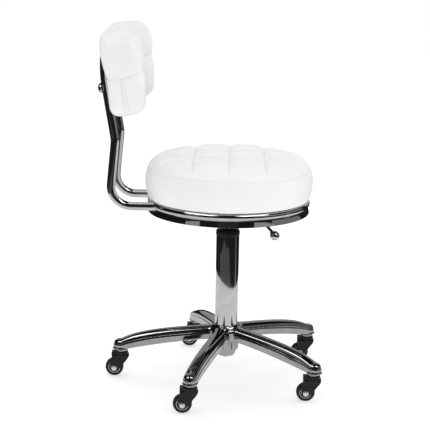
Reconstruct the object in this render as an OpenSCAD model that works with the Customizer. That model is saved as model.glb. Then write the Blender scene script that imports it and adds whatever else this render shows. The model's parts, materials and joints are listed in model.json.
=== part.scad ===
// Rolling stylist stool: a five-leg chrome base on casters, a gas-lift column, a round
// padded seat on a chrome ring, and a padded backrest carried by two bent chrome tubes.
// Millimetres, +Z up. The origin is on the floor under the column, and the sitter faces -Y.

/* [Base] */
// Number of legs, each with one caster
leg_count = 5; // [4:1:5]
// Radius from the column axis to the caster stems
stem_circle_r = 231; // [200:1:260]
// Half width of a leg where it leaves the hub
leg_half_w = 17; // [14:0.5:20]
// Wall thickness of the hollow legs
leg_wall = 3.2; // [2:0.2:5]
// Outer radius of the hub
hub_r = 28; // [27:0.5:34]
// Height of the top of the hub
hub_top_z = 122; // [116:1:130]
// Height of the bottom of the hub
hub_bottom_z = 69; // [64:1:76]

/* [Casters] */
// Wheel diameter
wheel_d = 40; // [36:1:44]
// Tyre width
tyre_w = 17; // [14:0.5:18]
// Distance of the axle behind the stem
caster_trail = 15.5; // [12:0.5:20]
// Height of the top of the caster hood
hood_top_z = 59; // [57:0.5:60]
// Largest radius of the hood's round crown
hood_r = 16.7; // [15:0.1:18]
// Stem diameter
stem_d = 11; // [10:0.5:12]

/* [Gas lift] */
// Outer diameter of the column tube
column_d = 50; // [48:1:52]
// Height of the top of the column tube
column_top_z = 327; // [320:1:340]
// Height of the top of the plastic collar
collar_top_z = 341; // [335:1:343]
// Travel of the gas lift
lift_stroke = 130; // [100:5:130]
// Diameter of the inner pressure cylinder
cylinder_d = 28; // [27:0.5:30]
// Diameter of the piston rod
rod_d = 10; // [8:0.5:12]

/* [Release lever] */
// Angle of the lever from straight ahead, towards the sitter's right
lever_angle = 50; // [30:1:60]
// Distance from the column axis to the centre of the lever's ball
ball_reach = 152; // [145:1:155]
// Height of the centre of the lever's ball
ball_z = 354; // [350:1:360]
// Diameter of the lever's ball
ball_d = 20; // [16:1:22]

/* [Seat] */
// Largest diameter of the seat cushion
seat_d = 361.6; // [340:0.2:380]
// Height of the underside of the seat board
board_z = 410; // [408:0.5:412]
// Thickness of the seat board
board_t = 12; // [9:1:15]
// Height of the cushion's rim seam
seat_seam_z = 476; // [465:1:490]
// Rise of the crowned top above the rim seam
seat_crown = 37; // [20:1:45]
// Radius of the centre line of the ring's bead
ring_bead_r = 167.5; // [160:0.5:170]

/* [Backrest] */
// Outer diameter of the bent tubes
tube_d = 18; // [16:0.5:19]
// Distance of each tube from the middle plane
tube_x = 66; // [60:1:75]
// Height of the tubes' level run under the seat
tube_z = 400; // [399:0.5:400.5]
// Half width of the back pad
pad_half_w = 175; // [150:1:190]
// Height of the bolts that hold the back pad
back_bolt_z = 651; // [645:1:660]

/* [Hidden] */
$fn = 64;
GAP = 0.05;                 // radial clearance of a running fit
HOLE_GAP = 0.2;             // radial clearance of a bolt in its hole
SKIN = 0.3;                 // space kept round soft pieces

CASTERS = [for (i = [1:leg_count]) i];
CASTER_NODES = [
    for (part_name = ["caster_hood", "caster_stem", "wheel_axle", "wheel_core", "tyre"])
        for (i = CASTERS) str(part_name, "_", i)
];

// Star base
leg_end_r = 248.5 - 231 + stem_circle_r;     // tip of a leg
leg_tip_half_w = 14;
leg_under_tip_z = 62.5;
ridge_step = 7;                              // depth of the crease below the ridge
ridge_inset = 3.5;                           // how far the ridge is set in from the sides
column_r = column_d / 2;
column_foot_r = column_r - 1.6;              // the tube tapers into the hub
column_foot_z = 64;
column_bottom_z = 54.5;
socket_r = 7.2;
socket_top_z = 76;

// Casters
wheel_r = wheel_d / 2;
stem_r = stem_d / 2;
cheek_in_x = 10;                             // inner face of a fork cheek
cheek_out_x = 13.2;
cheek_boss_x = 14.7;                         // face that the axle bolt's head bears on
axle_r = 3;
core_r = 13.5;

// Gas lift
rod_r = rod_d / 2;
cylinder_r = cylinder_d / 2;
cylinder_in_r = cylinder_r - 1.5;
cone_top_r = cylinder_r - 1;
column_in_r = column_r - 2;
race_z = 60;                                 // floor of the column tube's inside
race_t = 2;
ball_bearing_r = 1.6;
bearing_pitch_r = 11;
upper_race_z = race_z + race_t + 2 * ball_bearing_r + GAP;
stop_z = upper_race_z + race_t;
cylinder_bottom_z = 78;
gland_t = 14;
piston_z = cylinder_bottom_z + lift_stroke + gland_t + 18;
piston_t = 12;
valve_block_z = 310;
cone_z = 347;                                // where the cylinder starts to taper
cylinder_top_z = 388;
pin_r = 4;
pin_top_z = 393;

// Seat mechanism and lever
lever_turn = -90 - lever_angle;              // heading of the lever in plan
pivot_reach = 24;
pivot_z = 396;
pivot_r = 3;
lever_rod_r = 3;
lever_bend = 27;                             // downward slope of the lever's outer part
box_half = [35, 28];
box_floor_z = 381;
plate_half = [50, 75];
plate_z = board_z - 3;
mechanism_bolt_x = 40;
mechanism_bolt_y = 62;
m6_r = 3;

// Seat
board_r = 168;
seat_foot_r = 172;
seat_seam_r = 176;
ring_bead_minor_r = 7.5;
ring_bead_z = board_z - ring_bead_minor_r;
ring_neck_r = 171.7;
ring_neck_z = 393.5;
ring_hem_r = 174;
ring_hem_z = 381.8;
ring_t = 1.5;

// Backrest tubes, as [straight length, bend angle, bend radius] from the front end back and up
tube_front_y = -30;
tube_wall = 1.5;
TUBE_RUN = [[235.5, 95.2, 43], [86, -15, 60], [102, 17, 300]];
tube_bolt_ys = [-12, 110];
bolt_tilt = 9.4;                             // lean of the tubes where the back bolts pass
back_bolt_y = 258.9;                         // tube centre at the height of the back bolts

// Back pad
back_board_y = 232;
back_board_t = 12;
back_board_half = [145, 66];
back_board_mid_z = 692;
pad_front_y = 193;
pad_wrap = 27;                               // how far the pad's ends come forward
pad_back_y = 271;
pad_back_wrap = 9;
pad_top_z = 782.5;
pad_shoulder = 11.5;                         // how far the top drops towards the ends
pad_corner = 20;                             // height of the rounded top corners
pad_end_r = 22;

// ---------------------------------------------------------------- outlines

// Height of a leg's ridge and of its underside at radius r
function leg_top_z(r) = 124.8 - 0.093 * r - 27.6 * pow(r / (stem_circle_r + 9), 5);
function leg_under_z(r) = max(leg_under_tip_z, 94.5 - 28 * pow(r / (stem_circle_r - 19), 1.6));

// Half width of a leg at radius r, with the fillet that blends it into the hub
function leg_half_width(r) =
    leg_half_w - (leg_half_w - leg_tip_half_w) * r / stem_circle_r
    + 9 * exp(-(r - hub_r) / 15);

function stations(r_from, r_to) = [for (s = [0:8]) r_from + (r_to - r_from) * s / 8];
function reversed(list) = [for (k = [len(list) - 1:-1:0]) list[k]];

function leg_side_outline(top_drop, under_drop, r_from, r_to) = concat(
    [for (r = stations(r_from, r_to)) [r, leg_top_z(r) - top_drop]],
    [for (r = reversed(stations(r_from, r_to))) [r, leg_under_z(r) - under_drop]]
);

// The fillet at the hub needs closer stations than the rest of the leg
function leg_plan_outline(inset, r_from, r_to) = let (
    rs = concat([for (r = [r_from:8:hub_r + 32]) if (r < hub_r + 32) r], stations(hub_r + 34, r_to))
) concat(
    [for (r = rs) [r, leg_half_width(r) - inset]],
    [for (r = reversed(rs)) [r, inset - leg_half_width(r)]]
);

// Stations of a tube run in its own plane, as [point, heading], worked out step by step
function run_stations(steps, s = 0, at = [0, 0], heading = 0) =
    s == len(steps) ? [] : let (
        bend = steps[s][1],
        bend_r = steps[s][2] * sign(bend),
        bend_start = at + steps[s][0] * [cos(heading), sin(heading)],
        centre = bend_start + bend_r * [-sin(heading), cos(heading)],
        turns = ceil(abs(bend) / 8),
        arc = [
            for (k = [0:turns]) let (h = heading + bend * k / turns)
                [centre + bend_r * [sin(h), -cos(h)], h]
        ]
    ) concat(arc, run_stations(steps, s + 1, arc[turns][0], heading + bend));
RUN = concat([[[0, 0], 0]], run_stations(TUBE_RUN));

// Seat cushion from the middle of its top, down the crown and the bulging side
function crown_z(r) = seat_seam_z + seat_crown * (1 - pow(r / seat_seam_r, 4));
function side_r(t) = seat_foot_r + (seat_seam_r - seat_foot_r) * t
    + (seat_d / 2 - seat_seam_r + 2) * sin(180 * t);

// Back pad seen from the side, as [y, z]
PAD_SIDE = [
    [228, 602], [243, 612], [247, 640], [251, 677], [258, 700], [264, 725], [269, 748], [263, 765],
    [253, 775], [238, 782], [208, 777], [184, 756], [175, 722], [176, 698], [167, 665], [166, 638],
    [172, 618], [190, 606]
];

// Back pad seen from above: a front that is hollow in the middle, a fuller back, and rounded ends
function pad_front(x) = pad_front_y - pad_wrap * pow(x / pad_half_w, 2);
function pad_back(x) = pad_back_y - pad_back_wrap * pow(x / pad_half_w, 2);
pad_flat = pad_half_w - pad_end_r;
pad_end_y = (pad_front(pad_flat) + pad_back(pad_flat)) / 2;
pad_end_half = (pad_back(pad_flat) - pad_front(pad_flat)) / 2;
PAD_PLAN = concat(
    [for (s = [-10:10]) let (x = pad_flat * s / 10) [x, pad_front(x)]],
    [for (a = [-75:15:75]) [pad_flat + pad_end_r * cos(a), pad_end_y + pad_end_half * sin(a)]],
    [for (s = [10:-1:-10]) let (x = pad_flat * s / 10) [x, pad_back(x)]],
    [for (a = [105:15:255]) [-pad_flat + pad_end_r * cos(a), pad_end_y + pad_end_half * sin(a)]]
);

// Back pad seen from the front: a top that is highest in the middle, and rounded top corners
function pad_top(x) = pad_top_z - pad_shoulder * (1 - cos(180 * abs(x) / pad_flat)) / 2;
PAD_FRONT = concat(
    [[-pad_half_w - 1, 590], [pad_half_w + 1, 590]],
    [for (a = [0:15:75]) [pad_flat + (pad_end_r + 1) * cos(a), pad_top(pad_flat) - pad_corner * (1 - sin(a))]],
    [for (s = [10:-1:-10]) let (x = pad_flat * s / 10) [x, pad_top(x)]],
    [for (a = [105:15:180]) [-pad_flat + (pad_end_r + 1) * cos(a), pad_top(pad_flat) - pad_corner * (1 - sin(a))]]
);

// ---------------------------------------------------------------- helpers

module at_legs() {
    for (i = CASTERS) rotate([0, 0, 90 + (i - 1) * 360 / leg_count]) children();
}

module at_caster(i) {
    turn = 90 + (i - 1) * 360 / leg_count;
    translate([stem_circle_r * cos(turn), stem_circle_r * sin(turn), 0]) children();
}

// A solid lying along X, centred on the caster's axle
module on_axle(x_from, x_to, r, sides = 64) {
    translate([x_from, caster_trail, wheel_r])
        rotate([0, 90, 0]) cylinder(h = x_to - x_from, r = r, $fn = sides);
}

module post(z_from, z_to, r, sides = 64) {
    translate([0, 0, z_from]) cylinder(h = z_to - z_from, r = r, $fn = sides);
}

module ring_of(z_from, z_to, r_out, r_in) {
    difference() {
        post(z_from, z_to, r_out);
        post(z_from - 1, z_to + 1, r_in);
    }
}

// The inside face of a tapered joint, or the taper itself
module taper(z_from, z_to, r_from, r_to) {
    translate([0, 0, z_from]) cylinder(h = z_to - z_from, r1 = r_from, r2 = r_to);
}

// A hollow tube swept along the run, in the plane of the run
module run_tube(r_out, r_in) {
    sides = 24;
    rings = len(RUN);
    function ring_points(p, r) = [
        for (k = [0:sides - 1]) let (a = 360 * k / sides)
            [p[0][0] - sin(p[1]) * r * cos(a), p[0][1] + cos(p[1]) * r * cos(a), r * sin(a)]
    ];
    function corner(wall, ring, k) = (wall * rings + ring) * sides + k % sides;
    polyhedron(
        points = [for (r = [r_out, r_in]) for (p = RUN) each ring_points(p, r)],
        faces = concat(
            [for (q = [0:rings - 2]) for (k = [0:sides - 1])
                [corner(0, q, k), corner(0, q + 1, k), corner(0, q + 1, k + 1), corner(0, q, k + 1)]],
            [for (q = [0:rings - 2]) for (k = [0:sides - 1])
                [corner(1, q, k), corner(1, q, k + 1), corner(1, q + 1, k + 1), corner(1, q + 1, k)]],
            [for (k = [0:sides - 1])
                [corner(0, 0, k), corner(0, 0, k + 1), corner(1, 0, k + 1), corner(1, 0, k)]],
            [for (k = [0:sides - 1])
                [corner(0, rings - 1, k), corner(1, rings - 1, k), corner(1, rings - 1, k + 1), corner(0, rings - 1, k + 1)]]
        )
    );
}

// A slot that leaves room for the tube along its whole run
module run_slot(half_w) {
    function beside(p, w) = p[0] + w * [-sin(p[1]), cos(p[1])];
    linear_extrude(height = 2 * half_w, center = true)
        polygon(concat([for (p = RUN) beside(p, half_w)], [for (p = reversed(RUN)) beside(p, -half_w)]));
}

module at_run_end() {
    last = RUN[len(RUN) - 1];
    translate([last[0][0], last[0][1], 0]) rotate([0, 0, last[1]]) children();
}

module in_tube_plane(side) {
    translate([side * tube_x, tube_front_y, tube_z]) rotate([90, 0, 90]) children();
}

module at_back_bolts() {
    for (side = [-1, 1])
        translate([side * tube_x, back_bolt_y, back_bolt_z]) rotate([-90 - bolt_tilt, 0, 0]) children();
}

module at_tube_bolts() {
    for (side = [-1, 1]) for (y = tube_bolt_ys) translate([side * tube_x, y, 0]) children();
}

module at_mechanism_bolts() {
    for (x = [-1, 1]) for (y = [-1, 1])
        translate([x * mechanism_bolt_x, y * mechanism_bolt_y, 0]) children();
}

// ---------------------------------------------------------------- base

module leg_block(top_drop, under_drop, inset, r_from, r_to) {
    intersection() {
        rotate([90, 0, 0]) linear_extrude(height = 100, center = true)
            polygon(leg_side_outline(top_drop, under_drop, r_from, r_to));
        linear_extrude(height = 200)
            polygon(leg_plan_outline(inset, r_from, r_to));
    }
}

// The rounded end of a leg, from its underside up to its sloping top
module leg_end() {
    nose_r = leg_end_r - stem_circle_r;
    nose_z = leg_top_z(stem_circle_r);
    translate([stem_circle_r, 0, 0]) intersection() {
        translate([0, 0, leg_under_tip_z]) rotate_extrude()
            polygon(concat([[0, 0]], [for (a = [0:15:90]) [nose_r * cos(a), (nose_z - leg_under_tip_z) * sin(a)]]));
        translate([-30, -leg_tip_half_w, 0]) cube([60, 2 * leg_tip_half_w, 200]);
    }
}

module star_base() color("silver") {
    difference() {
        union() {
            post(hub_bottom_z, hub_top_z, hub_r);
            at_legs() {
                leg_block(ridge_step, 0, 0, 10, stem_circle_r);
                leg_block(0, 0, ridge_inset, 10, stem_circle_r);
                leg_end();
            }
        }
        at_legs() {
            leg_block(ridge_step + leg_wall, 30, leg_wall + ridge_inset, hub_r + leg_wall, stem_circle_r - 18);
            translate([stem_circle_r, 0, 0]) post(0, socket_top_z, socket_r);
        }
        taper(column_foot_z, hub_top_z + 1, column_foot_r, column_r);
        post(hub_top_z + 1, hub_top_z + 10, column_r);
    }
}

module caster_sockets() color("gray")
    at_legs() translate([stem_circle_r, 0, 0]) {
        ring_of(leg_under_tip_z, socket_top_z, socket_r, stem_r + GAP);
        ring_of(leg_under_tip_z - 1.2, leg_under_tip_z, socket_r + 2, stem_r + GAP);
    }

// ---------------------------------------------------------------- gas lift

module column_tube() color("silver")
    difference() {
        union() {
            post(hub_top_z + 1, column_top_z, column_r);
            taper(column_foot_z, hub_top_z + 1, column_foot_r, column_r);
            taper(column_bottom_z, column_foot_z, column_foot_r - 4, column_foot_r);
        }
        post(race_z + 6, column_top_z + 1, column_in_r - 1.6);
        post(hub_top_z, column_top_z + 1, column_in_r);
        post(race_z, race_z + 7, 18);
        post(column_bottom_z - 1, race_z + 1, rod_r + GAP);
    }

module guide_bush() color("black")
    difference() {
        union() {
            post(column_top_z - 72, column_top_z, column_in_r);
            post(column_top_z, collar_top_z - 4, column_r + 0.6);
            taper(collar_top_z - 4, collar_top_z, column_r + 0.6, column_r - 4);
        }
        post(column_top_z - 80, collar_top_z + 1, cylinder_r + GAP);
    }

module bearing_lower_race() color("gray") ring_of(race_z, race_z + race_t, 16, rod_r + 0.5);

module bearing_balls() color("silver")
    for (a = [0:30:330]) rotate([0, 0, a])
        translate([bearing_pitch_r, 0, race_z + race_t + ball_bearing_r]) sphere(r = ball_bearing_r, $fn = 24);

module bearing_upper_race() color("gray") ring_of(upper_race_z, stop_z, 16, rod_r);

module bump_stop() color("black") ring_of(stop_z, cylinder_bottom_z - SKIN, 12, rod_r);

module piston_rod() color("silver")
    difference() {
        post(48, piston_z + piston_t, rod_r);
        ring_of(column_bottom_z - 2, column_bottom_z - 0.5, rod_r + 1, rod_r - 1);
    }

module piston() color("gray")
    difference() {
        post(piston_z, piston_z + piston_t, cylinder_in_r - GAP);
        post(piston_z - 1, piston_z + piston_t + 1, rod_r);
        ring_of(piston_z + 4, piston_z + 7, cylinder_in_r + 1, cylinder_in_r - 2);
    }

module rod_clip() color("dimgray")
    difference() {
        post(column_bottom_z - 2, column_bottom_z - 0.5, 9);
        post(0, column_bottom_z, rod_r - 1);
        translate([-rod_r + 1, -20, 0]) cube([2 * rod_r - 2, 20, column_bottom_z]);
    }

module pressure_cylinder() color("silver")
    difference() {
        union() {
            post(cylinder_bottom_z, cone_z, cylinder_r);
            taper(cone_z, cylinder_top_z, cylinder_r, cone_top_r);
        }
        post(cylinder_bottom_z - 1, valve_block_z, cylinder_in_r);
        post(valve_block_z + 30, cylinder_top_z + 1, pin_r + GAP);
    }

module cylinder_gland() color("black")
    ring_of(cylinder_bottom_z, cylinder_bottom_z + gland_t, cylinder_in_r, rod_r + GAP);

module release_pin() color("white") post(pin_top_z - 30, pin_top_z, pin_r);

// ---------------------------------------------------------------- seat mechanism

module seat_mechanism() color("dimgray")
    difference() {
        union() {
            post(cone_z + 1, box_floor_z + 3, cylinder_r + 5);
            rotate([0, 0, lever_turn]) difference() {
                translate([-box_half[0], -box_half[1], box_floor_z])
                    cube([2 * box_half[0], 2 * box_half[1], board_z - box_floor_z]);
                translate([3 - box_half[0], 3 - box_half[1], box_floor_z + 3])
                    cube([2 * box_half[0] - 6, 2 * box_half[1] - 6, board_z]);
            }
            translate([-plate_half[0], -plate_half[1], plate_z])
                cube([2 * plate_half[0], 2 * plate_half[1], board_z - plate_z]);
        }
        taper(cone_z, cylinder_top_z, cylinder_r, cone_top_r);
        at_mechanism_bolts() post(plate_z - 1, board_z + 1, m6_r + HOLE_GAP);
        rotate([0, 0, lever_turn]) {
            translate([pivot_reach, 0, pivot_z]) rotate([90, 0, 0])
                cylinder(h = 100, r = pivot_r, center = true);
            translate([box_half[0] - 4, -7, pivot_z - 9]) cube([5, 14, 20]);
        }
    }

module lever_pivot_pin() color("silver")
    rotate([0, 0, lever_turn]) translate([pivot_reach, 0, pivot_z]) rotate([90, 0, 0])
        cylinder(h = 2 * box_half[1], r = pivot_r, center = true);

// Where the lever's level part ends and its outer part starts to slope down
lever_bend_reach = ball_reach - (pivot_z - ball_z) / tan(lever_bend);
lever_slope_length = (pivot_z - ball_z) / sin(lever_bend);

module release_lever() color("dimgray")
    rotate([0, 0, lever_turn]) translate([0, 0, pivot_z]) difference() {
        union() {
            translate([-6, -6, -2.4]) cube([pivot_reach + 6, 12, 5]);
            translate([pivot_reach, 0, 0]) rotate([90, 0, 0]) cylinder(h = 40, r = 6, center = true);
            translate([pivot_reach, 0, 0]) rotate([0, 90, 0])
                cylinder(h = lever_bend_reach - pivot_reach, r = lever_rod_r);
            translate([lever_bend_reach, 0, 0]) {
                sphere(r = lever_rod_r);
                rotate([0, 90 + lever_bend, 0]) cylinder(h = lever_slope_length - 4, r = lever_rod_r);
            }
        }
        translate([pivot_reach, 0, 0]) rotate([90, 0, 0]) cylinder(h = 50, r = pivot_r + GAP, center = true);
    }

module lever_ball() color("silver")
    rotate([0, 0, lever_turn]) translate([ball_reach, 0, ball_z]) rotate([0, lever_bend, 0])
        difference() {
            union() {
                sphere(r = ball_d / 2);
                rotate([0, -90, 0]) cylinder(h = ball_d / 2 + 2, r = lever_rod_r + 1.6);
            }
            rotate([0, -90, 0]) translate([0, 0, 4]) cylinder(h = ball_d, r = lever_rod_r);
        }

module mechanism_bolts() color("gray")
    at_mechanism_bolts() {
        post(plate_z, board_z + board_t - 1, m6_r);
        post(plate_z - 4, plate_z, 5.6, 6);
    }

// ---------------------------------------------------------------- seat

module seat_board() color("burlywood")
    difference() {
        post(board_z, board_z + board_t, board_r);
        at_mechanism_bolts() board_nut_hole();
        at_tube_bolts() board_nut_hole();
    }

module board_nut_hole() {
    post(board_z - 1, board_z + board_t + 1, m6_r + 1.5);
    post(board_z + board_t - 1.5, board_z + board_t + 1, 10);
}

module board_tee_nut() {
    ring_of(board_z + 2, board_z + board_t - 1.5, m6_r + 1.5, m6_r);
    ring_of(board_z + board_t - 1.5, board_z + board_t, 10, m6_r);
}

module board_tee_nuts() color("silver") {
    at_mechanism_bolts() board_tee_nut();
    at_tube_bolts() board_tee_nut();
}

// A hollow bead, with a narrow neck and a slightly flared skirt below it, turned round the column axis
module seat_ring() color("silver")
    difference() {
        union() {
            ring_bead(ring_bead_minor_r);
            rotate_extrude($fn = 128) polygon([
                [ring_neck_r, ring_bead_z - 5.5], [ring_neck_r, ring_neck_z], [ring_hem_r - 1, ring_hem_z + 6],
                [ring_hem_r, ring_hem_z], [ring_hem_r - ring_t, ring_hem_z],
                [ring_hem_r - 1 - ring_t, ring_hem_z + 6], [ring_neck_r - ring_t, ring_neck_z],
                [ring_neck_r - ring_t, ring_bead_z - 5.5]
            ]);
        }
        ring_bead(ring_bead_minor_r - ring_t);
        for (side = [-1, 1]) translate([side * tube_x, 120, tube_z])
            rotate([-90, 0, 0]) cylinder(h = 80, r = tube_d / 2 + HOLE_GAP);
    }

module ring_bead(r) {
    rotate_extrude($fn = 128) translate([ring_bead_r, ring_bead_z]) circle(r = r, $fn = 40);
}

// Hooked clips, screwed to the board, that hold the ring up by its bead
module ring_clips() color("gray") {
    bead_inner_r = ring_bead_r - ring_bead_minor_r;
    hook_z = ring_bead_z - ring_bead_minor_r - GAP;
    for (a = [20:72:308]) rotate([0, 0, a]) {
        translate([130, -9, board_z - 2]) cube([bead_inner_r - 130.5, 18, 2]);
        translate([bead_inner_r - 2.5, -9, hook_z - 2]) cube([2, 18, board_z - hook_z]);
        translate([bead_inner_r - 2.5, -9, hook_z - 2]) cube([10.5, 18, 2]);
        translate([140, 0, 0]) post(board_z - 4, board_z - 2, 4);
    }
}

module seat_cushion() color("white")
    rotate_extrude($fn = 128) polygon(concat(
        [[0, board_z + board_t + SKIN], [board_r + SKIN, board_z + board_t + SKIN], [board_r + SKIN, board_z + SKIN]],
        [for (s = [0:12]) [side_r(s / 12), board_z + SKIN + (seat_seam_z - board_z - SKIN) * s / 12]],
        [for (s = [15:-1:0]) let (r = seat_seam_r * s / 16) [r, crown_z(r)]]
    ));

// ---------------------------------------------------------------- backrest

module back_tube(side) color("silver")
    difference() {
        in_tube_plane(side) run_tube(tube_d / 2, tube_d / 2 - tube_wall);
        at_back_bolts() cylinder(h = 60, r = 4 + HOLE_GAP, center = true);
        at_tube_bolts() post(tube_z - 20, tube_z + 20, m6_r + HOLE_GAP);
    }

module tube_bolts() color("gray")
    at_tube_bolts() {
        post(tube_z - tube_d / 2, board_z + board_t - 1, m6_r);
        post(tube_z - tube_d / 2 - 4, tube_z - tube_d / 2, 5.6, 6);
    }

module tube_plugs() color("black")
    for (side = [-1, 1]) in_tube_plane(side) {
        rotate([0, -90, 0]) cylinder(h = 2, r = tube_d / 2);
        rotate([0, 90, 0]) cylinder(h = 12, r = tube_d / 2 - tube_wall - HOLE_GAP);
        at_run_end() rotate([0, 90, 0]) cylinder(h = 2, r = tube_d / 2);
    }

module back_board() color("burlywood")
    difference() {
        translate([-back_board_half[0], back_board_y, back_board_mid_z - back_board_half[1]])
            cube([2 * back_board_half[0], back_board_t, 2 * back_board_half[1]]);
        at_back_bolts() cylinder(h = 80, r = 5.5, center = true);
    }

module back_tee_nuts() color("silver")
    at_back_bolts() translate([0, 0, -25]) difference() {
        cylinder(h = 9, r = 5.5);
        translate([0, 0, -1]) cylinder(h = 11, r = 4);
    }

module back_bolts() color("silver")
    at_back_bolts() {
        translate([0, 0, -24]) cylinder(h = 24 + tube_d / 2, r = 4);
        translate([0, 0, tube_d / 2]) rotate_extrude()
            polygon(concat([[0, 0], [9.5, 0]], [for (a = [0:15:90]) [9.5 * cos(a), 1 + 6 * sin(a)]]));
    }

module back_cushion() color("white")
    difference() {
        intersection() {
            rotate([90, 0, 90]) linear_extrude(height = 2 * pad_half_w + 2, center = true) polygon(PAD_SIDE);
            linear_extrude(height = 900) polygon(PAD_PLAN);
            translate([0, 300, 0]) rotate([90, 0, 0]) linear_extrude(height = 200) polygon(PAD_FRONT);
        }
        translate([-back_board_half[0] - SKIN, back_board_y - 4, back_board_mid_z - back_board_half[1] - SKIN])
            cube([2 * back_board_half[0] + 2 * SKIN, back_board_t + 4 + SKIN, 2 * back_board_half[1] + 2 * SKIN]);
        for (side = [-1, 1]) in_tube_plane(side) {
            run_slot(tube_d / 2 + SKIN);
            at_run_end() rotate([0, 90, 0]) cylinder(h = 2 + SKIN, r = tube_d / 2 + SKIN);
        }
        at_back_bolts() cylinder(h = 60, r = 4 + SKIN, center = true);
    }

// ---------------------------------------------------------------- casters

module caster_hood(i) color("#1a1a1a")
    at_caster(i) difference() {
        union() {
            rotate_extrude() polygon([
                [0, 45], [hood_r - 0.5, 45], [hood_r, 46.5], [hood_r, 50], [hood_r - 0.7, 51],
                [hood_r - 0.5, 52.5], [hood_r - 1.5, 55.5], [hood_r - 4, hood_top_z - 0.6],
                [hood_r - 5, hood_top_z], [0, hood_top_z]
            ]);
            for (side = [-1, 1]) hood_cheek(side);
            translate([-cheek_out_x, -14, 41.5]) cube([2 * cheek_out_x, 33, 4]);
            translate([-cheek_out_x + 3, hood_r - 4, 44]) cube([2 * cheek_out_x - 6, 9, 12]);
        }
        on_axle(-cheek_in_x, cheek_in_x, wheel_r + 1.3);
        on_axle(-30, 30, axle_r);
        post(0, hood_top_z + 1, stem_r);
    }

// One side of the fork, which narrows from the crown to the axle
module hood_cheek(side) {
    flank = [
        [-hood_r + 0.5, 46], [-hood_r + 1.2, 43], [3.2, 18.5], [8.5, 13.5],
        [caster_trail + 7.6, 18], [20.5, 40], [20.5, 46]
    ];
    mirror([side < 0 ? 1 : 0, 0, 0]) {
        translate([cheek_in_x, 0, 0]) rotate([90, 0, 90])
            linear_extrude(height = cheek_out_x - cheek_in_x) polygon(flank);
        on_axle(cheek_in_x, cheek_out_x, 8);
        on_axle(cheek_in_x, cheek_boss_x, 6.6);
    }
}

module caster_stem(i) color("silver")
    at_caster(i) {
        post(46, hood_top_z + 1, stem_r);
        post(hood_top_z, hood_top_z + 1.6, 8);
        post(hood_top_z + 1, socket_top_z - 1, stem_r);
    }

module wheel_axle(i) color("silver")
    at_caster(i) {
        on_axle(-cheek_boss_x, cheek_boss_x, axle_r);
        on_axle(-cheek_boss_x - 4.6, -cheek_boss_x, 5.4, 6);
        on_axle(cheek_boss_x, cheek_boss_x + 4.6, 5.4, 6);
    }

module wheel_core(i) color("#2a2a2a")
    at_caster(i) difference() {
        union() {
            on_axle(-tyre_w / 2 + 1.5, tyre_w / 2 - 1.5, core_r);
            on_axle(-cheek_in_x + 0.4, cheek_in_x - 0.4, 6);
        }
        for (side = [-1, 1]) mirror([side < 0 ? 1 : 0, 0, 0]) difference() {
            on_axle(tyre_w / 2 - 3.5, tyre_w / 2, core_r - 2);
            on_axle(tyre_w / 2 - 4, tyre_w / 2 + 1, 8);
        }
        on_axle(-20, 20, axle_r + GAP);
    }

module tyre(i) color("black")
    at_caster(i) translate([0, caster_trail, wheel_r]) rotate([0, 90, 0]) rotate_extrude($fn = 96)
        polygon(concat(
            [[core_r, -tyre_w / 2 + 1]],
            [for (a = [-90:15:90]) [
                wheel_r - 4 + 4 * cos(a), (tyre_w / 2 - 4) * sign(a) + 4 * sin(a)
            ]],
            [[core_r, tyre_w / 2 - 1]]
        ));

// ---------------------------------------------------------------- nodes

star_base();
caster_sockets();
column_tube();
guide_bush();
bearing_lower_race();
bearing_balls();
bearing_upper_race();
bump_stop();
piston_rod();
piston();
rod_clip();
pressure_cylinder();
cylinder_gland();
release_pin();
seat_mechanism();
lever_pivot_pin();
release_lever();
lever_ball();
mechanism_bolts();
seat_board();
board_tee_nuts();
seat_ring();
ring_clips();
seat_cushion();
back_tube(1);  // back_tube_left
back_tube(-1);  // back_tube_right
tube_bolts();
tube_plugs();
back_board();
back_tee_nuts();
back_bolts();
back_cushion();
for (i = CASTERS) {
    caster_hood(i);
    caster_stem(i);
    wheel_axle(i);
    wheel_core(i);
    tyre(i);
}
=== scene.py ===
"""Rolling stylist stool: the looks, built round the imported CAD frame.

Metres in Blender, and millimetres in the shape functions below, which MM turns into metres.
+Z is up, the origin is on the floor under the column, the sitter faces -Y, and the camera looks along +X.
"""
import json
import math

import bmesh
import bpy
import numpy as np
from mathutils import Matrix, Vector
from mathutils.bvhtree import BVHTree


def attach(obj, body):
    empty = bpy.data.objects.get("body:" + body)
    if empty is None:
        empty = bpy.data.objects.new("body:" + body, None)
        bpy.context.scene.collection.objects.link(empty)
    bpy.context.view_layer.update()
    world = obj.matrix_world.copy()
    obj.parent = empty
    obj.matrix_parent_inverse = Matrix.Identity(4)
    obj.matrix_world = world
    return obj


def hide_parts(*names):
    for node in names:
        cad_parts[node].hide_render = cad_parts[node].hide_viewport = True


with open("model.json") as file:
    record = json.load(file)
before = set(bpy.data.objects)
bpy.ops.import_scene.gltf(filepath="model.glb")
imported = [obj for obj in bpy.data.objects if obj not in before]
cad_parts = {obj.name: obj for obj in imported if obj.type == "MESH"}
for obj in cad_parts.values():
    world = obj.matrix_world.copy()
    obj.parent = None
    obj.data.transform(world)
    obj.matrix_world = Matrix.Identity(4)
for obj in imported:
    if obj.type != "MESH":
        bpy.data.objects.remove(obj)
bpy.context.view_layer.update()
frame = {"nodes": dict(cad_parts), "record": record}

MM = 0.001
CASTERS = range(1, 6)
scene = bpy.context.scene


# ------------------------------------------------------------------ camera and studio

def look_from(location, forward, roll):
    """A camera matrix whose image right and up are turned by roll about the view direction."""
    forward = Vector(forward).normalized()
    level_right = forward.cross(Vector((0, 0, 1))).normalized()
    level_up = level_right.cross(forward)
    right = level_right * math.cos(roll) + level_up * math.sin(roll)
    up = level_up * math.cos(roll) - level_right * math.sin(roll)
    rows = Matrix((right, up, -forward)).transposed()
    return Matrix.Translation(location) @ rows.to_4x4()


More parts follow.
